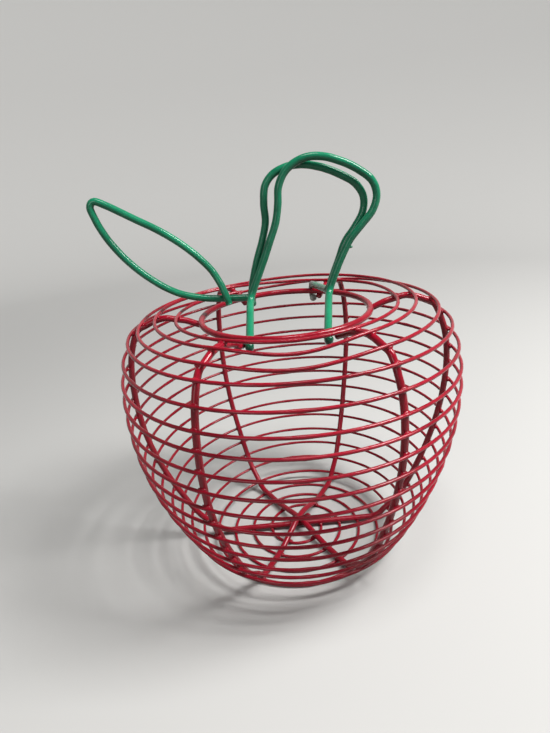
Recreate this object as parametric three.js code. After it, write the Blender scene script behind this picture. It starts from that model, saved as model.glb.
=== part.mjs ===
// Apple-shaped wire basket: a red cage of three long ribs and a spiral winding, a rim ring,
// two green handles that hook on the rim, and a wire leaf welded to the back handle.
// Millimetres, +Z up. The front is -Y, and the basket stands on the floor turns at Z = 0.

import * as THREE from 'three';

// Wires
const ribDiameter = 4.5;
const rimDiameter = 4.5;
const windingDiameter = 2.2;
const handleDiameter = 5.0;
const leafDiameter = 4.5;
const weldGap = 0.3;

// Rim ring
const rimRadius = 61.4;
const rimHeight = 194.8;
const ribRiseAtRim = 30;
const ribReachUnderRim = 3.0;

// Centre line of a rib from the shoulder down to the foot: radius in rim radii, height
const shoulderAndWall = [
  [1.171, 194.7],
  [1.305, 196.7],
  [1.433, 198.3],
  [1.554, 197.0],
  [1.678, 193.9],
  [1.767, 191.4],
  [1.884, 176.7],
  [1.945, 159.1],
  [1.958, 133.9],
  [1.901, 103.8],
  [1.762, 73.0],
  [1.560, 43.9],
  [1.355, 21.7],
];
const footBend = [[1.178, 7.1], [1.111, 2.7]];
const footRadius = 0.993 * rimRadius;

// Below these two heights the body stands a little left of the rim's middle and behind it
const bodyOffset = [-2.0, 0.8];
const offsetStarts = 165;
const offsetFull = 75;

// Rib wires: the angle of the first leg from the front, and the layer at the floor's crossing
const ribWires = [
  { name: 'rib_side_to_side', angle: -90, layer: 0 },
  { name: 'rib_front_right_to_back_left', angle: 30, layer: 1 },
  { name: 'rib_front_left_to_back_right', angle: -30, layer: 2 },
];
const crossingReach = 42;
const ribSteps = 34;

// Winding, counted in turns from the front: it starts at a back leg and ends at a side leg.
// Its first turns are wound off the middle, widest towards the left.
const windingTopRadius = 1.211 * rimRadius;
const windingEndRadius = 11.0;
const startTurn = 7 / 12;
const joinTurn = 4 + 3 / 4;
const endTurn = 21 + 3 / 4;
const pitchGrowth = 0.078;
const topOffCentre = 4.8;
const topWidestTurn = 0.87;
const topFading = 0.82;

// How far the hand-wound turns lie from an even winding, down along the leg: turn, distance
const unevenTurns = [
  [0.58, -2.5], [0.69, -1.8], [0.75, -2], [0.85, -1.2], [1, 0], [1.09, -1.5], [1.17, 0.3],
  [1.25, -0.2], [1.33, 0.5], [1.42, -3.2], [1.5, -6], [1.56, -5.2], [1.66, -2.8], [1.71, 0.2],
  [1.75, 0.6], [2, -0.4], [2.25, -1.9], [2.42, -0.5], [2.5, 4.5], [2.56, 6.5], [2.65, 4],
  [2.75, 0.9], [3, 1.1], [3.25, 0.2], [3.38, 1.6], [3.5, 7], [3.56, 8.4], [3.63, 5.5],
  [3.75, -0.5], [4, -1], [4.25, 1.2], [4.5, 2.3], [4.75, 2], [5, 1.4], [5.5, 2.2],
  [6, 2.3], [7, 1.2], [8, 1.9], [10, 1.4], [12, 1.5], [14, 2.7], [16, 0.1],
  [18, 0.1], [20, 1], [22, 2.6],
];

// Winding's ends, joint and steps
const endPastRib = 3.0;
const joinGap = 0.8;
const stepsPerTurn = 24;
const standingFlat = windingDiameter / 10;

// The upper turns sag between the two front legs
const frontSag = 5.0;
const frontSagTurn = 2.4;
const frontSagTurns = 1.0;
const frontLegAngle = 30;

// Handles: hooks in planes across the hinge line, legs, and a loop given as x, height over the rim
const frontHooks = { left: -26.0, right: 24.0 };
const backHooks = { left: -24.5, right: 26.0 };
const hookRadius = 5.7;
const handleGap = 0.3;
const legBendRadius = 7;
const hookStep = 15;
const loopStep = 5.0;
const frontHookTip = -145;
const backHookTip = 290;
const frontBends = { left: [-24.3, 12.6], right: [32.4, 12.6] };
const backBends = { left: [-24.0, 11.8], right: [33.0, 12.4] };
const frontLoop = [
  [-18.1, 25.9], [-11.8, 39.5], [-6.1, 52.7], [-1.4, 64.0], [1.1, 75.5], [2.4, 86.5], [6.8, 95.0],
  [13.8, 100.6], [22.5, 103.4], [32.5, 103.0], [44.2, 99.2], [56.2, 92.8], [65.2, 85.0], [68.0, 76.0],
  [65.3, 66.4], [57.6, 57.4], [49.8, 48.8], [44.2, 39.4], [38.2, 26.8],
];
const backLoop = [
  [-20.8, 25.6], [-16.6, 39.0], [-11.5, 52.6], [-8.3, 64.5], [-8.2, 77.0], [-6.3, 88.0], [-0.8, 94.6],
  [8.0, 98.4], [18.4, 99.3], [31.5, 96.5], [44.6, 90.7], [55.0, 83.8], [60.0, 75.0], [59.3, 65.4],
  [53.2, 55.0], [46.3, 46.0], [41.0, 33.5], [35.8, 21.0],
];

// Leaf: one wire from its weld on the back handle's left leg, out to the tip and back over itself
const leafBehindHandle = 3.0;
const leafLower = [
  [-45.5, 13.1], [-60.0, 15.0], [-78.0, 21.0], [-95.3, 33.2], [-109.0, 47.5], [-119.5, 63.6], [-125.2, 78.0],
];
const leafUpper = [
  [-126.3, 85.5], [-123.4, 88.3], [-116.0, 85.2], [-100.2, 75.7], [-80.0, 63.3], [-63.0, 49.3], [-50.5, 35.0],
];
const leafEnd = [[-44.5, 24.0], [-41.4, 15.5], [-40.0, 9.8]];
const leafStep = 5.0;

// Colours and finish of the two paints
const redPaint = new THREE.MeshStandardMaterial({ color: 0xb01830, roughness: 0.38, metalness: 0 });
const greenPaint = new THREE.MeshStandardMaterial({ color: 0x1f8a60, roughness: 0.38, metalness: 0 });

const radians = Math.PI / 180;

// Levels of the floor, from the surface that the basket stands on
const windingFloor = windingDiameter / 2 - standingFlat;
const ribToWinding = ribDiameter / 2 + weldGap + windingDiameter / 2;
const ribFloor = windingFloor + ribToWinding;

// A path through given points, as the wire was bent: one step for each pair of points
class WirePath extends THREE.Curve {
  constructor(points, outward = null) {
    super();
    this.points = points;
    this.outward = outward;
  }

  getPoint(share, target = new THREE.Vector3()) {
    const last = this.points.length - 1;
    const place = share * last;
    const before = Math.min(Math.floor(place + 1e-9), last - 1);
    return target.lerpVectors(this.points[before], this.points[before + 1], place - before);
  }

  getUtoTmapping(share) {
    return share;
  }

  getTangent(share, target = new THREE.Vector3()) {
    const last = this.points.length - 1;
    const place = Math.round(share * last);
    const before = this.points[Math.max(place - 1, 0)];
    const after = this.points[Math.min(place + 1, last)];
    return target.subVectors(after, before).normalize();
  }

  // With outward directions given, the wire's section keeps one flat side facing out
  computeFrenetFrames(steps, closed) {
    if (!this.outward) return super.computeFrenetFrames(steps, closed);
    const tangents = this.points.map((point, i) => this.getTangent(i / steps));
    const binormals = tangents.map((tangent, i) => tangent.clone().cross(this.outward[i]).normalize());
    const normals = binormals.map((binormal, i) => binormal.clone().cross(tangents[i]));
    return { tangents, normals, binormals };
  }
}

function wireGeometry(path, diameter, sides) {
  const corners = [];
  for (let i = 0; i < sides; i += 1) {
    const angle = (2 * Math.PI * (i + 0.5)) / sides;
    corners.push(new THREE.Vector2(Math.cos(angle), Math.sin(angle)).multiplyScalar(diameter / 2));
  }
  const steps = path.points.length - 1;
  return new THREE.ExtrudeGeometry(new THREE.Shape(corners), { steps, extrudePath: path });
}

function part(name, geometry, material) {
  const mesh = new THREE.Mesh(geometry, material);
  mesh.name = name;
  return mesh;
}

function around(radius, turn, height) {
  const angle = 2 * Math.PI * turn;
  return new THREE.Vector3(radius * Math.sin(angle), -radius * Math.cos(angle), height);
}

// A place on the ribbed body, which hand forming left a little off the rim's middle
function onBody(radius, turn, height) {
  const share = 1 - THREE.MathUtils.smoothstep(height, offsetFull, offsetStarts);
  const [x, y] = bodyOffset.map((distance) => distance * share);
  return around(radius, turn, height).add(new THREE.Vector3(x, y, 0));
}

// Centre line of one leg, from its end under the rim to the middle of the floor (x is the radius)
function legOutline() {
  const rise = ribRiseAtRim * radians;
  const seat = rimDiameter / 2 + weldGap + ribDiameter / 2;
  const seatPoint = [rimRadius + seat * Math.sin(rise), rimHeight - seat * Math.cos(rise)];
  const ribEnd = [
    seatPoint[0] - ribReachUnderRim * Math.cos(rise),
    seatPoint[1] - ribReachUnderRim * Math.sin(rise),
  ];
  const wall = shoulderAndWall.map(([radius, height]) => [radius * rimRadius, height]);
  const foot = footBend.map(([radius, rise]) => [radius * rimRadius, ribFloor + rise]);
  const floor = [footRadius, crossingReach, 0].map((radius) => [radius, ribFloor]);
  const outline = [ribEnd, seatPoint, ...wall, ...foot, ...floor];
  const points = outline.map(([radius, height]) => new THREE.Vector3(radius, 0, height));
  return new THREE.CatmullRomCurve3(points, false, 'centripetal');
}

const leg = legOutline();
const seatShare = 1 / (leg.points.length - 1);

function legPoint(share) {
  const point = leg.getPoint(share);
  point.z = Math.max(point.z, ribFloor);
  return point;
}

// Rib wire: down one leg, over the crossing on the floor, and up the opposite leg
function ribWire({ angle, layer }) {
  const turn = angle / 360;
  const lift = layer * (ribDiameter + weldGap);
  const curve = leg.getSpacedPoints(ribSteps);
  const side = curve.map((point) => {
    const near = Math.min(point.x / crossingReach, 1);
    const raised = (lift * (1 + Math.cos(Math.PI * near))) / 2;
    return new THREE.Vector3(point.x, 0, Math.max(point.z, ribFloor) + raised);
  });
  const down = side.map((point) => onBody(point.x, turn, point.z));
  const up = side.slice(0, -1).reverse().map((point) => onBody(-point.x, turn, point.z));
  return new WirePath([...down, ...up]);
}

// The winding lies outside the ribs: the leg's outline moved out, with the length along it
function windingOutline() {
  const samples = 1600;
  const rows = [];
  let length = 0;
  for (let i = 0; i <= samples; i += 1) {
    const share = seatShare + ((1 - seatShare) * i) / samples;
    const centre = legPoint(share);
    const along = leg.getTangent(share);
    if (centre.z === ribFloor) along.set(-1, 0, 0);
    const outward = new THREE.Vector3(-along.z, 0, along.x);
    const place = centre.addScaledVector(outward, ribToWinding);
    if (i > 0) length += place.distanceTo(rows[i - 1].place);
    rows.push({ place, outward, length });
  }
  return rows;
}

const outline = windingOutline();
const firstRow = outline.find((row) => row.place.x >= windingTopRadius);
const lastRow = outline.findLast((row) => row.place.x >= windingEndRadius);
const woundLength = lastRow.length - firstRow.length;

function unevenness(turn) {
  const after = unevenTurns.findIndex(([place]) => place >= turn);
  const [low, high] = [unevenTurns[Math.max(after - 1, 0)], unevenTurns[Math.max(after, 1)]];
  return THREE.MathUtils.mapLinear(turn, low[0], high[0], low[1], high[1]);
}

function windingPlace(turn) {
  const share = (turn - startTurn) / (endTurn - startTurn);
  const opened = share * (1 - pitchGrowth) + share * share * pitchGrowth;
  const toJoin = Math.max((joinTurn - turn) / (joinTurn - startTurn), 0);
  const offCentre = Math.cos(2 * Math.PI * (turn - topWidestTurn)) * toJoin ** topFading;
  const uneven = topOffCentre * offCentre + unevenness(turn);
  const wanted = firstRow.length + woundLength * opened + uneven;
  const after = Math.max(outline.findIndex((row) => row.length >= wanted), 1);
  const [low, high] = [outline[after - 1], outline[after]];
  const blend = (wanted - low.length) / (high.length - low.length);
  const place = low.place.clone().lerp(high.place, blend);
  const outward = low.outward.clone().lerp(high.outward, blend).normalize();
  const fromFront = (turn - Math.round(turn)) * 360;
  if (Math.abs(fromFront) < frontLegAngle) {
    const between = Math.cos((fromFront / frontLegAngle) * (Math.PI / 2)) ** 2;
    place.z -= frontSag * between * Math.exp(-(((turn - frontSagTurn) / frontSagTurns) ** 2));
  }
  return { place, outward };
}

function windingLength(from, to) {
  const turns = [from];
  const firstStep = Math.ceil(from * stepsPerTurn + 0.2);
  for (let step = firstStep; step < to * stepsPerTurn - 0.2; step += 1) {
    turns.push(step / stepsPerTurn);
  }
  turns.push(to);
  const rows = turns.map((turn) => ({ turn, ...windingPlace(turn) }));
  const points = rows.map(({ turn, place }) => onBody(place.x, turn, place.z));
  const outward = rows.map((row) => around(row.outward.x, row.turn, row.outward.z));
  return new WirePath(points, outward);
}

function flattenFoot(geometry) {
  const position = geometry.getAttribute('position');
  for (let i = 0; i < position.count; i += 1) {
    position.setZ(i, Math.max(position.getZ(i), 0));
  }
  return geometry;
}

// Least clear distance between one turn and the next, measured on the path's points
function leastGap(points) {
  let least = Infinity;
  for (let i = 0; i < points.length; i += 1) {
    for (let j = i + stepsPerTurn / 2; j < points.length; j += 1) {
      least = Math.min(least, points[i].distanceTo(points[j]));
    }
  }
  return least - windingDiameter;
}

function turnsOf(distance, turn) {
  return distance / (2 * Math.PI * windingPlace(turn).place.x);
}

const upperWinding = windingLength(
  startTurn - turnsOf(endPastRib, startTurn),
  joinTurn - turnsOf(joinGap / 2, joinTurn),
);
const lowerWinding = windingLength(
  joinTurn + turnsOf(joinGap / 2, joinTurn),
  endTurn - turnsOf(-endPastRib, endTurn - 1 / stepsPerTurn),
);
const allTurns = [...upperWinding.points, ...lowerWinding.points];
console.log(`least gap between the winding's turns: ${leastGap(allTurns).toFixed(2)} mm`);

// Handles. A handle's hinge line runs through the rim ring's centre at its two hooks.
const handlePlane = (handleDiameter + handleGap) / 2;

// One hook and leg, from the tip to the bend, as x, distance from the middle, height over the rim
function hookAndLeg(x, bend, tip, overRim) {
  const hingeY = Math.sqrt(rimRadius ** 2 - x ** 2);
  const inward = hingeY - handlePlane;
  const reach = Math.hypot(inward, bend[1]);
  const towardsBend = Math.atan2(bend[1], inward) / radians;
  const opening = Math.acos(hookRadius / reach) / radians;
  const tangent = towardsBend + (overRim ? opening : -opening);
  const steps = Math.round(Math.abs(tip - tangent) / hookStep);
  const points = [];
  for (let i = 0; i <= steps; i += 1) {
    const angle = (tip + ((tangent - tip) * i) / steps) * radians;
    const offset = hookRadius * Math.cos(angle);
    points.push(new THREE.Vector3(x, hingeY - offset, hookRadius * Math.sin(angle)));
  }
  return { points, corner: new THREE.Vector3(bend[0], handlePlane, bend[1]) };
}

function roundedCorner(before, corner, after) {
  const start = corner.clone().add(before.clone().sub(corner).setLength(legBendRadius));
  const end = corner.clone().add(after.clone().sub(corner).setLength(legBendRadius));
  return new THREE.QuadraticBezierCurve3(start, corner, end).getPoints(6);
}

function handlePath(hooks, bends, loop, tip, overRim, side) {
  const left = hookAndLeg(hooks.left, bends.left, tip, overRim);
  const right = hookAndLeg(hooks.right, bends.right, tip, overRim);
  const loopPoints = loop.map(([x, height]) => new THREE.Vector3(x, handlePlane, height));
  const leftCorner = roundedCorner(left.points.at(-1), left.corner, loopPoints[0]);
  const rightCorner = roundedCorner(loopPoints.at(-1), right.corner, right.points.at(-1));
  const knots = [leftCorner.at(-1), ...loopPoints, rightCorner[0]];
  const curve = new THREE.CatmullRomCurve3(knots, false, 'centripetal');
  const bow = curve.getSpacedPoints(Math.round(curve.getLength() / loopStep)).slice(1, -1);
  const points = [...left.points, ...leftCorner, ...bow, ...rightCorner, ...right.points.reverse()];
  return new WirePath(points.map(({ x, y, z }) => new THREE.Vector3(x, side * y, rimHeight + z)));
}

// The leaf's weld is on the outer side of the back handle's left leg, just behind its bend
function leafPath() {
  const plane = handlePlane + leafBehindHandle;
  const clear = handleDiameter / 2 + weldGap;
  const [bendX, bendHeight] = backBends.left;
  const root = [bendX - clear, bendHeight];
  const passing = leafDiameter + weldGap;
  const flat = [root, ...leafLower, ...leafUpper].map(([x, height]) => new THREE.Vector3(x, plane, height));
  const end = leafEnd.map(([x, height], i) => {
    const forward = (passing * (i + 1)) / leafEnd.length;
    return new THREE.Vector3(x, plane - Math.min(forward * 1.5, passing), height);
  });
  const curve = new THREE.CatmullRomCurve3([...flat, ...end], false, 'centripetal');
  const points = curve.getSpacedPoints(Math.round(curve.getLength() / leafStep));
  return new WirePath(points.map(({ x, y, z }) => new THREE.Vector3(x, y, rimHeight + z)));
}

function rimRing() {
  const ring = new THREE.TorusGeometry(rimRadius, rimDiameter / 2, 8, 48);
  return part('rim_ring', ring.translate(0, 0, rimHeight), redPaint);
}

const basket = new THREE.Group();
basket.add(rimRing());
for (const rib of ribWires) {
  basket.add(part(rib.name, wireGeometry(ribWire(rib), ribDiameter, 8), redPaint));
}
const windings = { shoulder_winding: upperWinding, wall_and_floor_winding: lowerWinding };
for (const [name, path] of Object.entries(windings)) {
  basket.add(part(name, flattenFoot(wireGeometry(path, windingDiameter, 6)), redPaint));
}

const frontHandle = handlePath(frontHooks, frontBends, frontLoop, frontHookTip, false, -1);
const backHandle = handlePath(backHooks, backBends, backLoop, backHookTip, true, 1);
basket.add(part('front_handle', wireGeometry(frontHandle, handleDiameter, 8), greenPaint));
basket.add(part('back_handle', wireGeometry(backHandle, handleDiameter, 8), greenPaint));
basket.add(part('leaf', wireGeometry(leafPath(), leafDiameter, 8), greenPaint));

// The origin is under the middle of the whole basket's box, on the surface it stands on
const box = new THREE.Box3().setFromObject(basket);
const middle = box.getCenter(new THREE.Vector3());
basket.position.set(-middle.x, -middle.y, -box.min.z);
basket.updateMatrixWorld(true);
console.log(`shift ${basket.position.toArray().map((value) => value.toFixed(3)).join(' ')}`);

export default basket;
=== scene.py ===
import math

import bpy
import numpy as np
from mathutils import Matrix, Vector


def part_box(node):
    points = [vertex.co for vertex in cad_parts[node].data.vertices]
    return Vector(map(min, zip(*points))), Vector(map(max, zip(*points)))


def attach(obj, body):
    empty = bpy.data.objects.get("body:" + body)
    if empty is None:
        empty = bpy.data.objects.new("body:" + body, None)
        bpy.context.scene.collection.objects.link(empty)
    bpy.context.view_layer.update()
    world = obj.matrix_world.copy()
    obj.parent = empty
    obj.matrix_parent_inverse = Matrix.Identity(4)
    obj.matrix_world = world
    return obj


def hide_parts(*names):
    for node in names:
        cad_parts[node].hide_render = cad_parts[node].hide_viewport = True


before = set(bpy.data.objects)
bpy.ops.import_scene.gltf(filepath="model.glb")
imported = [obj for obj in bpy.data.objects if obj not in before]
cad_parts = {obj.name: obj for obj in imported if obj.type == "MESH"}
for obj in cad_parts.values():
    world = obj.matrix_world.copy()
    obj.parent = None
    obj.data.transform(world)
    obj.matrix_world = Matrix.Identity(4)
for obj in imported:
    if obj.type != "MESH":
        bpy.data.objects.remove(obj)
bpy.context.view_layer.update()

# Wire sizes in millimetres, and the basket's axis from the ring's place in the frame
RIB, RIM, WINDING, HANDLE, LEAF = 4.5, 4.5, 2.2, 5.0, 4.5
# What the paint adds all round to the ribs and winding, the handles and the leaf. The ring stays as it
# is in the CAD, so that the hooks can turn on it.
RED_COAT, HANDLE_COAT, LEAF_COAT = 0.11, 0.12, 0.30
# Welded wires stand this far apart in the CAD
GAP = 0.3
RIM_RADIUS, RIM_HEIGHT = 61.4, 194.8
_low, _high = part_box("rim_ring")
AXIS = np.array([(_low[0] + _high[0]) * 500, (_low[1] + _high[1]) * 500, 0.0])

# Colours as they look on the basket
RED, DEEP_RED, FRESH_RED = "#9c1127", "#640615", "#b51c34"
GREEN, DEEP_GREEN, FRESH_GREEN = "#1b825d", "#0b4b33", "#33a577"
STEEL, STEEL_DARK = "#a2a49f", "#62625d"
FLOOR, FLOOR_SHADE = "#c6c5c2", "#424446"
SKY = "#dfe3e6"

# A millimetre in the scene, and the steps along the ribs and along the green wires, in millimetres
MM, RIB_STEP, GREEN_STEP = 0.001, 1.3, 1.2

# The camera solved from the photograph: place in millimetres from the basket's axis, turns in degrees
CAMERA_PLACE, CAMERA_TURNS = (-11.28, -364.94, 297.71), (68.22912, 5.12846, -2.04461)
CAMERA_LENS, CAMERA_SENSOR = 25.2837, 36.0


def make_camera():
    data = bpy.data.cameras.new("camera")
    camera = bpy.data.objects.new("camera", data)
    bpy.context.scene.collection.objects.link(camera)
    data.sensor_width = CAMERA_SENSOR
    data.lens = CAMERA_LENS
    data.clip_start, data.clip_end = 0.01, 20.0
    place = np.array(CAMERA_PLACE) + AXIS
    camera.location = [float(v) / 1000 for v in place]
    camera.rotation_euler = [math.radians(v) for v in CAMERA_TURNS]
    bpy.context.scene.camera = camera


# Curves
def catmull(points, shares):
    """Points on a smooth curve through the given ones, at shares 0 to 1 of its count."""
    points = np.asarray(points, float)
    last = len(points) - 1
    rows = []
    for share in shares:
        place = min(max(share, 0.0), 1.0) * last
        i = min(int(place + 1e-12), last - 1)
        w = place - i
        b, c = points[i], points[i + 1]
        a = points[i - 1] if i > 0 else 2 * b - c
        d = points[i + 2] if i + 2 <= last else 2 * c - b
        t0, t1, t2 = (math.sqrt(np.linalg.norm(v)) for v in (b - a, c - b, d - c))
        m1 = ((b - a) / t0 - (c - a) / (t0 + t1) + (c - b) / t1) * t1
        m2 = ((c - b) / t1 - (d - b) / (t1 + t2) + (d - c) / t2) * t1
        square, cube = 3 * (c - b) - 2 * m1 - m2, 2 * (b - c) + m1 + m2
        rows.append(b + m1 * w + square * w**2 + cube * w**3)
    return np.array(rows)


def lengths(points):
    """How far along the line each point lies."""
    return np.r_[0, np.cumsum(np.linalg.norm(np.diff(points, axis=0), axis=1))]


def spaced(points, step):
    """The same line with even steps."""
    along = lengths(points)
    places = np.linspace(0, along[-1], max(int(round(along[-1] / step)), 2) + 1)
    return np.stack([np.interp(places, along, points[:, i]) for i in range(points.shape[1])], 1)


def around(radius, turn, height):
    """A place round the axis: turns are counted from the front toward the right."""
    angle = 2 * np.pi * np.asarray(turn, float)
    radius, height = np.broadcast_to(radius, angle.shape), np.broadcast_to(height, angle.shape)
    return np.stack([radius * np.sin(angle), -radius * np.cos(angle), height], -1)


def fade(distance, reach):
    """1 where there is no distance, falling off softly over the reach."""
    return np.exp(-((distance / reach) ** 2))


# Hand forming left the ribbed body a little off the ring's middle: not at all at the first height,
# and fully from the second height down
BODY_SHIFT = np.array([-2.0, 0.8, 0.0])
UNSHIFTED, SHIFTED = 165, 75


def on_body(radius, turn, height):
    """A place on the ribbed body."""
    share = np.clip((UNSHIFTED - np.asarray(height, float)) / (UNSHIFTED - SHIFTED), 0, 1)
    share = share * share * (3 - 2 * share)
    return around(radius, turn, height) + share[..., None] * BODY_SHIFT


def ripple(points, size, seed, waves=7):
    """A smooth unevenness, mostly between -1 and 1, with bumps of about that size in millimetres."""
    rng = np.random.default_rng(seed)
    total = np.zeros(len(points))
    for _ in range(waves):
        way = rng.normal(size=3)
        way *= rng.uniform(0.7, 1.6) * 2 * np.pi / size / np.linalg.norm(way)
        total += np.sin(points @ way + rng.uniform(0, 6.28))
    return total / 3.2


# Leg outline, as in the CAD: radius in rim radii and height of a rib's centre line. The foot's heights
# are above the centre line of the flat floor.
SHOULDER_AND_WALL = [
    (1.171, 194.7), (1.305, 196.7), (1.433, 198.3), (1.554, 197.0), (1.678, 193.9), (1.767, 191.4),
    (1.884, 176.7), (1.945, 159.1), (1.958, 133.9), (1.901, 103.8), (1.762, 73.0), (1.560, 43.9),
    (1.355, 21.7),
]
FOOT_BEND = [(1.178, 7.1), (1.111, 2.7)]
WINDING_FLOOR = WINDING / 2 - WINDING / 10
RIB_TO_WINDING = RIB / 2 + GAP + WINDING / 2
RIB_FLOOR = WINDING_FLOOR + RIB_TO_WINDING
# A rib's seat under the ring, the slope of its end, and how far the end runs on past the seat
RIM_RISE, PAST_SEAT = math.radians(30), 3
SEAT = RIM / 2 + GAP + RIB / 2
SEAT_POINT = (RIM_RADIUS + SEAT * math.sin(RIM_RISE), RIM_HEIGHT - SEAT * math.cos(RIM_RISE))
RIB_END = (SEAT_POINT[0] - PAST_SEAT * math.cos(RIM_RISE),
           SEAT_POINT[1] - PAST_SEAT * math.sin(RIM_RISE))
# The floor's flat part starts at the first radius, and the ribs cross over each other within the second
FLAT_FROM, CROSSING_REACH = 0.993 * RIM_RADIUS, 42
LEG = [RIB_END, SEAT_POINT] + [(r * RIM_RADIUS, z) for r, z in SHOULDER_AND_WALL]
LEG += [(r * RIM_RADIUS, RIB_FLOOR + z) for r, z in FOOT_BEND]
LEG += [(r, RIB_FLOOR) for r in (FLAT_FROM, CROSSING_REACH, 0)]


def leg_line(first_share, count):
    """Rib centre line and its outward direction."""
    shares, nudge = np.linspace(first_share, 1, count), 2e-4
    line = catmull(LEG, shares)
    ways = catmull(LEG, shares + nudge) - catmull(LEG, shares - nudge)
    ways /= np.linalg.norm(ways, axis=1)[:, None]
    low = line[:, 1] <= RIB_FLOOR
    line[low, 1] = RIB_FLOOR
    ways[low] = (-1, 0)
    return line, np.stack([-ways[:, 1], ways[:, 0]], 1)


# The winding lies on the outside of the legs, from a seat onward
_line, _outward = leg_line(1 / (len(LEG) - 1), 1601)
OUTLINE = _line + _outward * RIB_TO_WINDING
OUTLINE_LENGTH = lengths(OUTLINE)
# The turns at which it starts, is joined and ends, and the radii of its start and end
START, JOIN, END = 7 / 12, 4.75, 21.75
START_RADIUS, END_RADIUS = 1.211 * RIM_RADIUS, 11.0
FIRST = OUTLINE_LENGTH[np.argmax(OUTLINE[:, 0] >= START_RADIUS)]
LAST = OUTLINE_LENGTH[len(OUTLINE) - 1 - np.argmax(OUTLINE[::-1, 0] >= END_RADIUS)]


# How far the hand-wound turns lie from an even winding, down along the leg: turn, distance
UNEVEN = np.array([
    (0.58, -2.5), (0.69, -1.8), (0.75, -2), (0.85, -1.2), (1, 0), (1.09, -1.5), (1.17, 0.3),
    (1.25, -0.2), (1.33, 0.5), (1.42, -3.2), (1.5, -6), (1.56, -5.2), (1.66, -2.8), (1.71, 0.2),
    (1.75, 0.6), (2, -0.4), (2.25, -1.9), (2.42, -0.5), (2.5, 4.5), (2.56, 6.5), (2.65, 4),
    (2.75, 0.9), (3, 1.1), (3.25, 0.2), (3.38, 1.6), (3.5, 7), (3.56, 8.4), (3.63, 5.5),
    (3.75, -0.5), (4, -1), (4.25, 1.2), (4.5, 2.3), (4.75, 2), (5, 1.4), (5.5, 2.2),
    (6, 2.3), (7, 1.2), (8, 1.9), (10, 1.4), (12, 1.5), (14, 2.7), (16, 0.1),
    (18, 0.1), (20, 1), (22, 2.6),
])
# How much the turns open toward the floor
OPENING = 0.078
# The top turns are off centre by this much at that turn, and less toward the join
OFF_CENTRE, OFF_CENTRE_TURN, OFF_CENTRE_LOSS = 4.8, 0.87, 0.82
# Between the front ribs, this many degrees to each side, the wire sags, most at that turn
SAG, SAG_TURN, FRONT_RIB = 5.0, 2.4, 30
STEPS_PER_TURN = 96


def winding_place(turn):
    """Radius and height of the winding at a turn, and the outward direction there."""
    turn = np.asarray(turn, float)
    share = (turn - START) / (END - START)
    opened = share * (1 - OPENING) + share**2 * OPENING
    to_join = np.maximum((JOIN - turn) / (JOIN - START), 0) ** OFF_CENTRE_LOSS
    off_centre = OFF_CENTRE * np.cos(2 * np.pi * (turn - OFF_CENTRE_TURN)) * to_join
    wanted = FIRST + (LAST - FIRST) * opened + off_centre + np.interp(turn, *UNEVEN.T)
    place = np.stack([np.interp(wanted, OUTLINE_LENGTH, OUTLINE[:, i]) for i in (0, 1)], -1)
    out = np.stack([np.interp(wanted, OUTLINE_LENGTH, _outward[:, i]) for i in (0, 1)], -1)
    from_front = (turn - np.round(turn)) * 360
    between = np.cos(np.radians(from_front * 90 / FRONT_RIB)) ** 2
    between = np.where(np.abs(from_front) < FRONT_RIB, between, 0)
    place[..., 1] -= SAG * between * fade(turn - SAG_TURN, 1.0)
    return place, out


def winding_path(first, last):
    turns = np.r_[np.arange(first, last, 1 / STEPS_PER_TURN), last]
    place, _ = winding_place(turns)
    return turns, on_body(place[:, 0], turns, place[:, 1])


# Each rib's angle in degrees from the front, and its place in the crossing, counted upward
RIB_ANGLES = {"rib_side_to_side": (-90, 0), "rib_front_right_to_back_left": (30, 1),
              "rib_front_left_to_back_right": (-30, 2)}
# Ribs touch the winding and each other at the paint, so they lie closer to it than in the CAD
CLOSER, CROSSING_STEP = 0.36, RIB - 0.12
# Their cut ends lie up against the ring's underside
END_RISE, END_RISE_REACH = 1.0, 5.0


def rib_path(angle, layer):
    """A rib from its end on one side, under the floor, to its end on the other side."""
    line, out = leg_line(0, 900)
    line = line + out * CLOSER
    line[:, 1] = np.maximum(line[:, 1], RIB_FLOOR - CLOSER)
    near = np.minimum(np.maximum(line[:, 0], 0) / CROSSING_REACH, 1)
    line[:, 1] += layer * CROSSING_STEP * (1 + np.cos(np.pi * near)) / 2
    line[:, 1] += END_RISE * fade(lengths(line), END_RISE_REACH)
    side = spaced(line, RIB_STEP)
    down = on_body(side[:, 0], np.full(len(side), angle / 360), side[:, 1])
    up = on_body(-side[-2::-1, 0], np.full(len(side) - 1, angle / 360), side[-2::-1, 1])
    return np.concatenate([down, up])


# Handles: two hooks on the ring, two legs and a loop. Each handle stands in a plane beside the axis,
# and its points are given across and above the ring.
HOOK_RADIUS, PLANE = 5.7, (HANDLE + GAP) / 2
FRONT_LOOP = [
    (-18.1, 25.9), (-11.8, 39.5), (-6.1, 52.7), (-1.4, 64.0), (1.1, 75.5), (2.4, 86.5),
    (6.8, 95.0), (13.8, 100.6), (22.5, 103.4), (32.5, 103.0), (44.2, 99.2), (56.2, 92.8),
    (65.2, 85.0), (68.0, 76.0), (65.3, 66.4), (57.6, 57.4), (49.8, 48.8), (44.2, 39.4),
    (38.2, 26.8),
]
BACK_LOOP = [
    (-20.8, 25.6), (-16.6, 39.0), (-11.5, 52.6), (-8.3, 64.5), (-8.2, 77.0), (-6.3, 88.0),
    (-0.8, 94.6), (8.0, 98.4), (18.4, 99.3), (31.5, 96.5), (44.6, 90.7), (55.0, 83.8),
    (60.0, 75.0), (59.3, 65.4), (53.2, 55.0), (46.3, 46.0), (41.0, 33.5), (35.8, 21.0),
]
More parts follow.
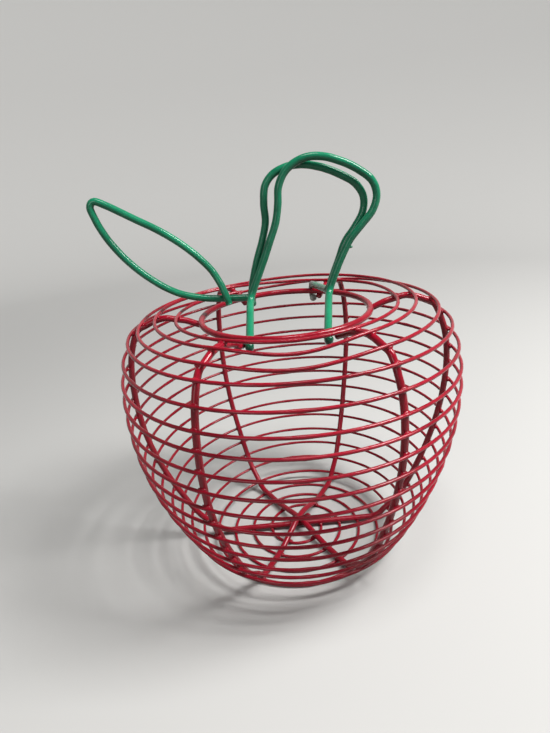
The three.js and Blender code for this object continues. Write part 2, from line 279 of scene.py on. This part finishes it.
# Where the hooks are across the mouth, where the legs bend into the loop, the angle of the hooks' tips
# round the ring, whether they go over or under it, and the side of the mouth
HANDLES = {
    "front_handle": dict(hooks=(-26.0, 24.0), bends=((-24.3, 12.6), (32.4, 12.6)), loop=FRONT_LOOP,
                         tip=-145, over=False, side=-1),
    "back_handle": dict(hooks=(-24.5, 26.0), bends=((-24.0, 11.8), (33.0, 12.4)), loop=BACK_LOOP,
                        tip=290, over=True, side=1),
}


def hook_and_leg(x, bend, tip, over):
    """A hook round the ring's wire up to where the leg leaves it, and the bend that the leg goes to."""
    hinge = math.sqrt(RIM_RADIUS**2 - x**2)
    inward = hinge - PLANE
    reach = math.hypot(inward, bend[1])
    opening = math.degrees(math.acos(HOOK_RADIUS / reach))
    tangent = math.degrees(math.atan2(bend[1], inward)) + (opening if over else -opening)
    count = max(int(abs(tip - tangent) / 5), 6)
    angles = np.radians(np.linspace(tip, tangent, count))
    hook = np.stack([np.full(len(angles), x), hinge - HOOK_RADIUS * np.cos(angles),
                     HOOK_RADIUS * np.sin(angles)], 1)
    return hook, np.array([bend[0], PLANE, bend[1]])


def rounded_corner(before, corner, after, reach=7.0):
    """A bend that starts and ends at that reach from the corner."""
    start = corner + (before - corner) / np.linalg.norm(before - corner) * reach
    end = corner + (after - corner) / np.linalg.norm(after - corner) * reach
    t = np.linspace(0, 1, 12)[:, None]
    return start * (1 - t) ** 2 + 2 * corner * t * (1 - t) + end * t**2


def handle_path(hooks, bends, loop, tip, over, side):
    left, left_corner = hook_and_leg(hooks[0], bends[0], tip, over)
    right, right_corner = hook_and_leg(hooks[1], bends[1], tip, over)
    loop = np.array([(x, PLANE, z) for x, z in loop])
    left_bend = rounded_corner(left[-1], left_corner, loop[0])
    right_bend = rounded_corner(loop[-1], right_corner, right[-1])
    bow = catmull([left_bend[-1], *loop, right_bend[0]], np.linspace(0, 1, 700))[1:-1]
    path = np.concatenate([left, left_bend, bow, right_bend, right[::-1]])
    return spaced(path * (1, side, 1) + (0, 0, RIM_HEIGHT), GREEN_STEP)


# The leaf starts in the paint at the back handle's left bend. Its end passes in front of its start.
LEAF_ROOT = (-25.1, 11.8)
LEAF_LOWER = [(-45.5, 13.1), (-60, 15), (-78, 21), (-95.3, 33.2), (-109, 47.5), (-119.5, 63.6),
              (-125.2, 78)]
LEAF_UPPER = [(-126.3, 85.5), (-123.4, 88.3), (-116, 85.2), (-100.2, 75.7), (-80, 63.3),
              (-63, 49.3), (-50.5, 35)]
LEAF_END = [(-44.5, 24.0), (-41.4, 15.5), (-40.0, 9.8)]
LEAF_PLANE, LEAF_PASSING = PLANE + 3.0, LEAF + GAP


def leaf_path():
    points = [(x, LEAF_PLANE, z) for x, z in [LEAF_ROOT, *LEAF_LOWER, *LEAF_UPPER]]
    for (x, z), share in zip(LEAF_END, (0.5, 1.0, 1.0)):
        points.append((x, LEAF_PLANE - LEAF_PASSING * share, z))
    return spaced(catmull(points, np.linspace(0, 1, 700)) + (0, 0, RIM_HEIGHT), GREEN_STEP)


# Meshes
def across(path, closed):
    """Two directions square to the line at each point, without twist."""
    if closed:
        tangent = np.roll(path, -1, 0) - np.roll(path, 1, 0)
    else:
        tangent = np.gradient(path, axis=0)
    tangent /= np.linalg.norm(tangent, axis=1)[:, None]
    side = np.empty_like(path)
    first = np.cross(tangent[0], np.eye(3)[np.argmin(np.abs(tangent[0]))])
    side[0] = first / np.linalg.norm(first)
    for i in range(1, len(path)):
        turned = side[i - 1] - tangent[i] * (side[i - 1] @ tangent[i])
        side[i] = turned / np.linalg.norm(turned)
    return side, np.cross(tangent, side)


def to_object(name, points, faces, wear_and_shade, body):
    """A smooth mesh from points in millimetres, with its wear and painted shade, riding on a body."""
    mesh = bpy.data.meshes.new(name)
    metres = (np.asarray(points) + AXIS) / 1000
    mesh.from_pydata(metres.tolist(), [], faces)
    mesh.polygons.foreach_set("use_smooth", [True] * len(mesh.polygons))
    layer = mesh.attributes.new("wear_and_shade", "FLOAT", "POINT")
    layer.data.foreach_set("value", np.asarray(wear_and_shade, np.float32))
    mesh.update()
    piece = bpy.data.objects.new(name, mesh)
    bpy.context.scene.collection.objects.link(piece)
    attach(piece, body)
    return piece


def wire(name, path, radius, sides, seed, closed=False, ends=("round", "round"), wear_and_shade=None,
         body="basket", lumps=(0.03, 6.0)):
    """A drawn wire under paint: a tube whose radius may vary, with its ends cut or rounded over.

    The lumps of the coat are given as their height and size.
    """
    path = np.asarray(path, float)
    radius = np.broadcast_to(np.asarray(radius, float), (len(path),)).copy()
    wear_and_shade = np.zeros(len(path)) if wear_and_shade is None else np.asarray(wear_and_shade, float)
    if not closed:
        # Both ends are closed as last ends, so the line is turned round each time
        for kind in ends[::-1]:
            path, radius, wear_and_shade = (v[::-1] for v in close_end(path, radius, wear_and_shade, kind))
    side, up = across(path, closed)
    angles = 2 * np.pi * (np.arange(sides) + 0.5) / sides
    spokes = side[:, None] * np.cos(angles)[:, None] + up[:, None] * np.sin(angles)[:, None]
    skin = path[:, None] + radius[:, None, None] * spokes
    height, size = lumps
    bumps = (height * ripple(skin.reshape(-1, 3), size, seed)).reshape(len(path), sides)
    # No lumps where the wire tapers to nothing at a closed end
    shrink = np.clip(radius / radius.max() * 2 - 1, 0, 1)
    flat = (skin + (bumps * shrink[:, None])[..., None] * spokes).reshape(-1, 3)
    # Nothing goes below the floor
    flat[:, 2] = np.maximum(flat[:, 2], 0)
    faces = []
    rows = len(path)
    for i in range(rows if closed else rows - 1):
        j = (i + 1) % rows
        for k in range(sides):
            m = (k + 1) % sides
            faces.append((i * sides + k, i * sides + m, j * sides + m, j * sides + k))
    if not closed:
        faces.append(tuple(range(sides))[::-1])
        faces.append(tuple(range((rows - 1) * sides, rows * sides)))
    return to_object(name, flat, faces, np.repeat(wear_and_shade, sides), body)


# A cut end, step by step: how far out in radii, how wide in radii, and how bare of paint
CUT_OUT, CUT_WIDE, CUT_WORN = (0.0, 0.10, 0.16, 0.18), (1.0, 0.94, 0.82, 0.05), (0.2, 0.9, 1.0, 1.0)


def close_end(path, radius, wear_and_shade, kind):
    """Adds the rows that close the wire's last end: a cut face with soft edges, or a drop of paint."""
    way = path[-1] - path[-2]
    way /= np.linalg.norm(way)
    r = radius[-1]
    if kind in ("cut", "painted cut"):
        wear = CUT_WORN if kind == "cut" else (0.0,) * len(CUT_WORN)
        rows = [(path[-1] + way * r * a, r * b, w) for a, b, w in zip(CUT_OUT, CUT_WIDE, wear)]
    else:
        angles = np.radians([15, 30, 45, 60, 75, 88])
        rows = [(path[-1] + way * r * math.sin(a), r * math.cos(a), wear_and_shade[-1]) for a in angles]
    path = np.concatenate([path, [row[0] for row in rows]])
    radius = np.r_[radius, [row[1] for row in rows]]
    wear_and_shade = np.r_[wear_and_shade, [row[2] for row in rows]]
    return path, radius, wear_and_shade


def beads(name, places, seed, body="basket"):
    """Paint pooled round welds: soft drops given as centre, three directions and three radii."""
    rng = np.random.default_rng(seed)
    ring, stack = 12, 8
    points, faces = [], []
    for centre, ways, radii in places:
        base = len(points)
        ways = np.asarray(ways)
        # Each drop has its own size, and is a little out of round in its own way
        grow = rng.uniform(0.9, 1.12)
        phase = rng.uniform(0, 6.28, 3)
        for i in range(stack + 1):
            polar = math.pi * i / stack
            count = 1 if i in (0, stack) else ring
            for k in range(count):
                angle = 2 * math.pi * k / ring
                wide = math.sin(polar)
                unit = np.array([wide * math.cos(angle), wide * math.sin(angle), math.cos(polar)])
                swell = grow * (1 + 0.05 * math.sin(2 * angle + phase[0]) * wide
                                + 0.04 * math.sin(3 * angle + phase[1]))
                points.append(centre + (unit * np.array(radii) * swell) @ ways)
        for k in range(ring):
            m = (k + 1) % ring
            faces.append((base, base + 1 + k, base + 1 + m))
            for i in range(stack - 2):
                a, b = base + 1 + i * ring, base + 1 + (i + 1) * ring
                faces.append((a + k, b + k, b + m, a + m))
            tail = base + 1 + (stack - 2) * ring
            faces.append((tail + k, base + 1 + (stack - 1) * ring, tail + m))
    points = np.array(points)
    points[:, 2] = np.maximum(points[:, 2], 0.0)
    return to_object(name, points, faces, np.zeros(len(points)), body)


# Materials
def linear(colour):
    """An sRGB hex colour as the linear numbers that a shader takes."""
    parts = [int(colour[i:i + 2], 16) / 255 for i in (1, 3, 5)]
    parts = [c / 12.92 if c <= 0.04045 else ((c + 0.055) / 1.055) ** 2.4 for c in parts]
    return (*parts, 1.0)


def per_mm(size):
    """Texture scale for a pattern of that size in millimetres, in a scene in metres."""
    return 1000 / size


class Finish:
    """A material being wired up: add() puts in a node and sets or links its inputs."""

    def __init__(self, name):
        self.material = bpy.data.materials.new(name)
        self.material.use_nodes = True
        self.tree = self.material.node_tree
        self.tree.nodes.clear()
        self.shader = self.add("ShaderNodeBsdfPrincipled")
        output = self.add("ShaderNodeOutputMaterial")
        self.tree.links.new(self.shader.outputs["BSDF"], output.inputs["Surface"])

    def add(self, kind, settings=None, **inputs):
        node = self.tree.nodes.new(kind)
        for key, value in (settings or {}).items():
            setattr(node, key, value)
        for key, value in inputs.items():
            self.put(node, key, value)
        return node

    def put(self, node, key, value):
        """Sets or links one input, given by its name or as i and its number."""
        socket = node.inputs[int(key[1:])] if key[0] == "i" and key[1:].isdigit() else None
        socket = socket or node.inputs[key.replace("_", " ")]
        if isinstance(value, bpy.types.NodeSocket):
            self.tree.links.new(value, socket)
        else:
            socket.default_value = value

    def noise(self, size, detail=3.0, rough=0.5):
        """Noise with a pattern of that size in millimetres."""
        where = self.add("ShaderNodeTexCoord").outputs["Object"]
        return self.add("ShaderNodeTexNoise", Vector=where, Scale=per_mm(size), Detail=detail,
                        Roughness=rough).outputs["Fac"]

    def ramp(self, factor, *stops):
        """A ramp through places with a grey or a colour each."""
        node = self.add("ShaderNodeValToRGB", Fac=factor)
        ends = node.color_ramp.elements
        while len(ends) < len(stops):
            ends.new(0.5)
        for end, (place, colour) in zip(ends, stops):
            end.position = place
            end.color = colour if isinstance(colour, tuple) else (colour, colour, colour, 1)
        return node.outputs["Color"]

    def mix(self, factor, a, b):
        node = self.add("ShaderNodeMix", {"data_type": "RGBA"})
        self.put(node, "i0", factor)
        self.put(node, "i6", a)
        self.put(node, "i7", b)
        return node.outputs[2]

    def step(self, value, given, wanted):
        """A soft rise from one value to another over the given stretch."""
        node = self.add("ShaderNodeMapRange", {"interpolation_type": "SMOOTHSTEP"}, Value=value)
        for key, number in zip(("From Min", "From Max", "To Min", "To Max"), given + wanted):
            self.put(node, key, number)
        return node.outputs["Result"]

    def bump(self, height, strength, distance, settings=None, **under):
        """A bump of that distance, laid over the one under it."""
        return self.add("ShaderNodeBump", settings, Strength=strength, Distance=distance, Height=height,
                        **under).outputs["Normal"]

    def maths(self, kind, a, b=0.0, clamp=False):
        node = self.add("ShaderNodeMath", {"operation": kind, "use_clamp": clamp})
        self.put(node, "i0", a)
        self.put(node, "i1", b)
        return node.outputs[0]


def dipped_enamel(name, main, deep, fresh, wear_size=1.6):
    """Dipped enamel paint on drawn steel wire, rubbed through to the steel where it is worn, and painted
    deeper as shade where the attribute is below zero.
    """
    finish = Finish(name)
    shader = finish.shader
    # Clouds of thicker, deeper paint and of fresher, thinner paint along the wire
    cloud = finish.noise(26, 2.0)
    paint = finish.ramp(cloud, (0.30, linear(deep)), (0.48, linear(main)), (0.72, linear(fresh)))
    base = finish.mix(0.62, paint, linear(main))
    # Fine mottling of the coat
    mottle = finish.ramp(finish.noise(2.4, 4.0), (0.35, 0.0), (0.75, 1.0))
    base = finish.mix(finish.maths("MULTIPLY", mottle, 0.22), base, linear(deep))
    # Below zero, the attribute paints shade: the deep colour darkens the hooks' ends as painted shade
    # where they face down under the ring
    wear_and_shade = finish.add("ShaderNodeAttribute", {"attribute_name": "wear_and_shade"}).outputs["Fac"]
    base = finish.mix(finish.maths("MULTIPLY", wear_and_shade, -1.0, clamp=True), base, linear(deep))
    # Places where the coat is rubbed or chipped through to grey steel, with ragged edges
    ragged = finish.maths("SUBTRACT", finish.noise(wear_size, 5.0, 0.65), 0.5)
    ragged = finish.maths("MULTIPLY", finish.maths("MULTIPLY", ragged, 0.9),
                          finish.maths("GREATER_THAN", wear_and_shade, 0.02))
    bare = finish.ramp(finish.maths("ADD", wear_and_shade, ragged), (0.47, 0.0), (0.56, 1.0))
    grain = finish.noise(0.9, 5.0, 0.7)
    steel = finish.ramp(grain, (0.3, linear(STEEL_DARK)), (0.7, linear(STEEL)))
    finish.put(shader, "Base_Color", finish.mix(bare, base, steel))
    finish.put(shader, "Metallic", finish.maths("MULTIPLY", bare, 0.4))
    # Gloss is uneven: brighter on full paint, duller where it is thin or handled
    gloss = finish.ramp(finish.noise(7, 3.0), (0.3, 0.13), (0.75, 0.25))
    finish.put(shader, "Roughness", finish.mix(bare, gloss, (0.45, 0.45, 0.45, 1)))
    # Orange peel of the coat, slow lumps where it ran, and a step at the edge of each worn place
    peel = finish.bump(finish.noise(1.3, 3.0), 0.5, 0.06 * MM)
    runs = finish.bump(finish.noise(5.0, 1.5), 0.7, 0.30 * MM, Normal=peel)
    edge = finish.bump(bare, 0.8, 0.12 * MM, {"invert": True}, Normal=runs)
    finish.put(shader, "Normal", edge)
    # A soft gloss: the windows show as lines, and the floor hardly greys the red
    finish.put(shader, "Specular_IOR_Level", 0.32)
    return finish.material


def matte_floor():
    finish = Finish("pale_floor")
    shader = finish.shader
    # Pale to the eye and in the gloss of the wires, but it throws little light up under them
    rays = finish.add("ShaderNodeLightPath").outputs
    seen = finish.maths("MAXIMUM", rays["Is Camera Ray"], rays["Is Glossy Ray"])
    seen = finish.maths("MAXIMUM", seen, rays["Is Transmission Ray"])
    finish.put(shader, "Base_Color", finish.mix(seen, linear(FLOOR_SHADE), linear(FLOOR)))
    finish.put(shader, "Roughness", 0.9)
    # Little light reaches the wall far out, so it glows as pale as the floor, more so behind the basket.
    # The stretches are in metres.
    where = finish.add("ShaderNodeTexCoord").outputs["Object"]
    away = finish.add("ShaderNodeVectorMath", {"operation": "LENGTH"}, Vector=where)
    away = away.outputs["Value"]
    depth = finish.add("ShaderNodeSeparateXYZ", Vector=where).outputs["Y"]
    far_out = finish.step(away, (0.15, 1.7), (0.0, 1.0))
    pale = finish.step(depth, (-1.7, 1.2), (0.13, 0.46))
    glow = finish.maths("MULTIPLY", seen, finish.maths("MULTIPLY", far_out, pale))
    finish.put(shader, "Emission_Color", linear(FLOOR))
    finish.put(shader, "Emission_Strength", glow)
    return finish.material


# Pieces
# The winding's start and end run on past a rib, and its two lengths stop short of the join. The turn at
# the end is measured a little before it.
PAST_RIB, BESIDE_JOIN, BEFORE_END = 3.0, 0.4, 0.04


def build_basket(red):
    turns = np.arange(240) / 240
    ring = wire("rim_ring_wire", around(RIM_RADIUS, turns, RIM_HEIGHT), RIM / 2, 20, seed=11,
                closed=True, wear_and_shade=ring_wear(turns))
    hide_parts("rim_ring")
    made = [ring]
    for i, (name, (angle, layer)) in enumerate(RIB_ANGLES.items()):
        rib = wire(name + "_wire", rib_path(angle, layer), RIB / 2 + RED_COAT, 16, seed=20 + i,
                   ends=("painted cut", "painted cut"))
        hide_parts(name)
        made.append(rib)
    windings = {
        "shoulder_winding": (START - turns_for(PAST_RIB, START), JOIN - turns_for(BESIDE_JOIN, JOIN)),
        "wall_and_floor_winding": (JOIN + turns_for(BESIDE_JOIN, JOIN),
                                   END + turns_for(PAST_RIB, END - BEFORE_END)),
    }
    for name, (first, last) in windings.items():
        winding = build_winding(name, first, last)
        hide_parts(name)
        made.append(winding)
    made += [build_weld_beads(), build_rim_beads()]
    for piece in made:
        piece.data.materials.append(red)


# The ring is rubbed where the hooks turn on it, over a reach in millimetres, and dull from hands and
# goods at two turns, over a reach in turns
HOOK_WEAR, HOOK_WEAR_REACH = 0.42, 3.0
SIDE_WEAR, SIDE_WEAR_REACH, SIDE_WEAR_TURNS = 0.26, 0.05, (0.22, 0.78)


def ring_wear(turns):
    wear_and_shade = np.zeros(len(turns))
    for spec in HANDLES.values():
        for x in spec["hooks"]:
            y = -spec["side"] * math.sqrt(RIM_RADIUS**2 - x**2)
            hook_turn = math.atan2(x, y) / (2 * math.pi)
            away = np.abs((turns - hook_turn + 0.5) % 1 - 0.5) * 2 * math.pi * RIM_RADIUS
            wear_and_shade = np.maximum(wear_and_shade, HOOK_WEAR * fade(away, HOOK_WEAR_REACH))
    for turn in SIDE_WEAR_TURNS:
        wear_and_shade = np.maximum(wear_and_shade, SIDE_WEAR * fade(turns - turn, SIDE_WEAR_REACH))
    return wear_and_shade


# The legs stand at the odd twelfths of a turn
LEGS = 6
# Midway between two legs the paint is thicker by this much, over this reach
THICKER, THICKER_REACH = 0.18, 2.6


def turns_for(distance, turn):
    """A distance along the winding as a share of the turn there."""
    return distance / (2 * np.pi * winding_place(turn)[0][0])


def build_winding(name, first, last):
    turns, path = winding_path(first, last)
    from_middle = np.abs((turns * LEGS + 0.5) % 1 - 0.5) / LEGS
    away = from_middle * 2 * np.pi * winding_place(turns)[0][:, 0]
    radius = WINDING / 2 + RED_COAT + THICKER * fade(away, THICKER_REACH)
    return wire(name + "_wire", path, radius, 12, seed=31, ends=("cut", "cut"), lumps=(0.03, 7.0))


# Half the length, width and thickness of the beads on the winding, of those on the ring, and of the
# thickest blob, which lies over the bend of the front left rib
WINDING_BEAD, RIM_BEAD, THICK_BLOB = (3.1, 2.0, 1.35), (2.6, 2.4, 1.2), (3.0, 3.8, 2.7)
# How far the winding's beads lie inside its wire, and where the blob lies from the rib's seat
BEAD_DEPTH, BLOB_OUT, BLOB_UP, BLOB_ANGLE = 0.25, 3.0, 1.0, -30


def crossings():
    """The turns at which the winding crosses a leg, its start and end among them."""
    turns = [n / (2 * LEGS) for n in range(1, 2 * LEGS * math.ceil(END), 2)]
    return [turn for turn in turns if START - 0.01 <= turn <= END + 0.01]


def build_weld_beads():
    places = []
    for turn in crossings():
        place, out = winding_place(turn)
        centre = on_body(place[0], turn, place[1])
        outward = around(out[0], turn, out[1])
        along = around(1.0, turn + 0.25, 0.0)
        down = np.cross(along, outward)
        contact = centre - outward * (WINDING / 2 + BEAD_DEPTH)
        places.append((contact, (along, down, outward), WINDING_BEAD))
    return beads("weld_beads", places, seed=7)


def build_rim_beads():
    places = []
    radius, height = (np.array([RIM_RADIUS, RIM_HEIGHT]) + SEAT_POINT) / 2
    for angle in (-90, -30, 30, 90, 150, -150):
        turn = angle / 360
        along = around(1.0, turn + 0.25, 0.0)
        radial = around(math.cos(RIM_RISE), turn, math.sin(RIM_RISE))
        ways = along, radial, np.cross(along, radial)
        places.append((around(radius, turn, height), ways, RIM_BEAD))
        if angle == BLOB_ANGLE:
            bend = around(SEAT_POINT[0] + BLOB_OUT, turn, SEAT_POINT[1] + BLOB_UP)
            places.append((bend, ways, THICK_BLOB))
    return beads("rim_weld_beads", places, seed=9)


# Distances along a handle from its nearer end. The drop of paint on the hook's end makes the wire
# thicker. Over a longer reach the hook's end is painted darker, as painted shade where it faces down
# under the ring. Inside the hook the paint is rubbed.
DROP, DROP_REACH = 0.2, 2.0
HOOK_END_SHADE, HOOK_END_SHADE_REACH = 0.9, 3.5
RUBBED, RUBBED_AT, RUBBED_REACH = 0.36, 9, 5.0
# The back handle's right hook has lost its paint, fully up to the first distance
STRIPPED_TO, PAINTED_FROM = 24, 30
GREEN_LUMPS = (0.05, 9.0)
# A burr left in the paint on the front handle's right leg: its middle and half its sides
BURR_PLACE, BURR_SIZE = (48.9, -2.65, 237.6), (1.7, 1.0, 0.9)


def build_handles(green):
    made = []
    for i, (name, spec) in enumerate(HANDLES.items()):
        path = handle_path(**spec)
        along = lengths(path)
        from_end = np.minimum(along, along[-1] - along)
        radius = HANDLE / 2 + HANDLE_COAT + DROP * fade(from_end, DROP_REACH)
        # The subtracted part is painted shade: the hooks' ends are darkened where they face down under
        # the ring
        wear_and_shade = RUBBED * fade(from_end - RUBBED_AT, RUBBED_REACH) - HOOK_END_SHADE * fade(from_end, HOOK_END_SHADE_REACH)
        ends = ("round", "round")
        if name == "back_handle":
            stripped = 1.0 - np.clip((from_end - STRIPPED_TO) / (PAINTED_FROM - STRIPPED_TO), 0, 1)
            wear_and_shade = np.where(along > along[-1] / 2, np.maximum(wear_and_shade, stripped), wear_and_shade)
            ends = ("round", "cut")
        handle = wire(name + "_wire", path, radius, 20, seed=40 + i, ends=ends, wear_and_shade=wear_and_shade, body=name,
                      lumps=GREEN_LUMPS)
        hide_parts(name)
        made.append(handle)
    leaf = wire("leaf_wire", leaf_path(), LEAF / 2 + LEAF_COAT, 18, seed=50, ends=("round", "cut"),
                body="back_handle", lumps=GREEN_LUMPS)
    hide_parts("leaf")
    made.append(leaf)
    burr = (np.array(BURR_PLACE), np.eye(3), BURR_SIZE)
    made.append(beads("front_handle_burr", [burr], body="front_handle", seed=5))
    for piece in made:
        piece.data.materials.append(green)


# Floor, backdrop and light, in metres
FLOOR_RADIUS, SWEEP, WALL_TOP = 1.2, 0.6, 2.5


def build_stage():
    """A round floor that sweeps up into a round wall."""
    count, bends = 96, 12
    rows = [(FLOOR_RADIUS / 2, 0.0), (FLOOR_RADIUS, 0.0)]
    for i in range(1, bends + 1):
        a = math.radians(90 * i / bends)
        rows.append((FLOOR_RADIUS + SWEEP * math.sin(a), SWEEP - SWEEP * math.cos(a)))
    rows.append((FLOOR_RADIUS + SWEEP, WALL_TOP))
    mesh = bpy.data.meshes.new("floor")
    turns = [2 * math.pi * k / count for k in range(count)]
    points = [(r * math.cos(a), r * math.sin(a), z) for r, z in rows for a in turns]
    faces = [tuple(range(count))]
    for i in range(len(rows) - 1):
        for k in range(count):
            m = (k + 1) % count
            faces.append((i * count + k, (i + 1) * count + k, (i + 1) * count + m, i * count + m))
    mesh.from_pydata(points, [], faces)
    mesh.polygons.foreach_set("use_smooth", [True] * len(faces))
    floor = bpy.data.objects.new("floor", mesh)
    floor.data.materials.append(matte_floor())
    bpy.context.scene.collection.objects.link(floor)


# Each light's place, the place it is aimed at, its two sides and its watts
LIGHTS = {
    "window_right": ((0.92, -0.20, 1.30), (0, 0, 0.15), (0.5, 0.7), 33),
    "window_left": ((-0.75, -1.25, 0.6), (0, 0, 0.12), (0.5, 0.7), 3.6),
    "ceiling": ((0.1, -0.35, 1.6), (0, 0, 0.1), (0.4, 0.4), 7.5),
}
SKY_STRENGTH = 0.06


def area_light(name, place, aim, size, watts):
    data = bpy.data.lights.new(name, "AREA")
    data.shape = "RECTANGLE"
    data.size, data.size_y = size
    data.energy = watts
    light = bpy.data.objects.new(name, data)
    light.location = place
    light.rotation_euler = (Vector(aim) - Vector(place)).to_track_quat("-Z", "Y").to_euler()
    bpy.context.scene.collection.objects.link(light)


def build_light():
    for name, spec in LIGHTS.items():
        area_light(name, *spec)
    world = bpy.data.worlds.new("studio")
    world.use_nodes = True
    back = world.node_tree.nodes["Background"]
    back.inputs["Color"].default_value = linear(SKY)
    back.inputs["Strength"].default_value = SKY_STRENGTH
    scene = bpy.context.scene
    scene.world = world
    scene.view_settings.view_transform = "Standard"


make_camera()
build_basket(dipped_enamel("red_dipped_enamel", RED, DEEP_RED, FRESH_RED))
build_handles(dipped_enamel("green_dipped_enamel", GREEN, DEEP_GREEN, FRESH_GREEN, wear_size=2.2))
build_stage()
build_light()
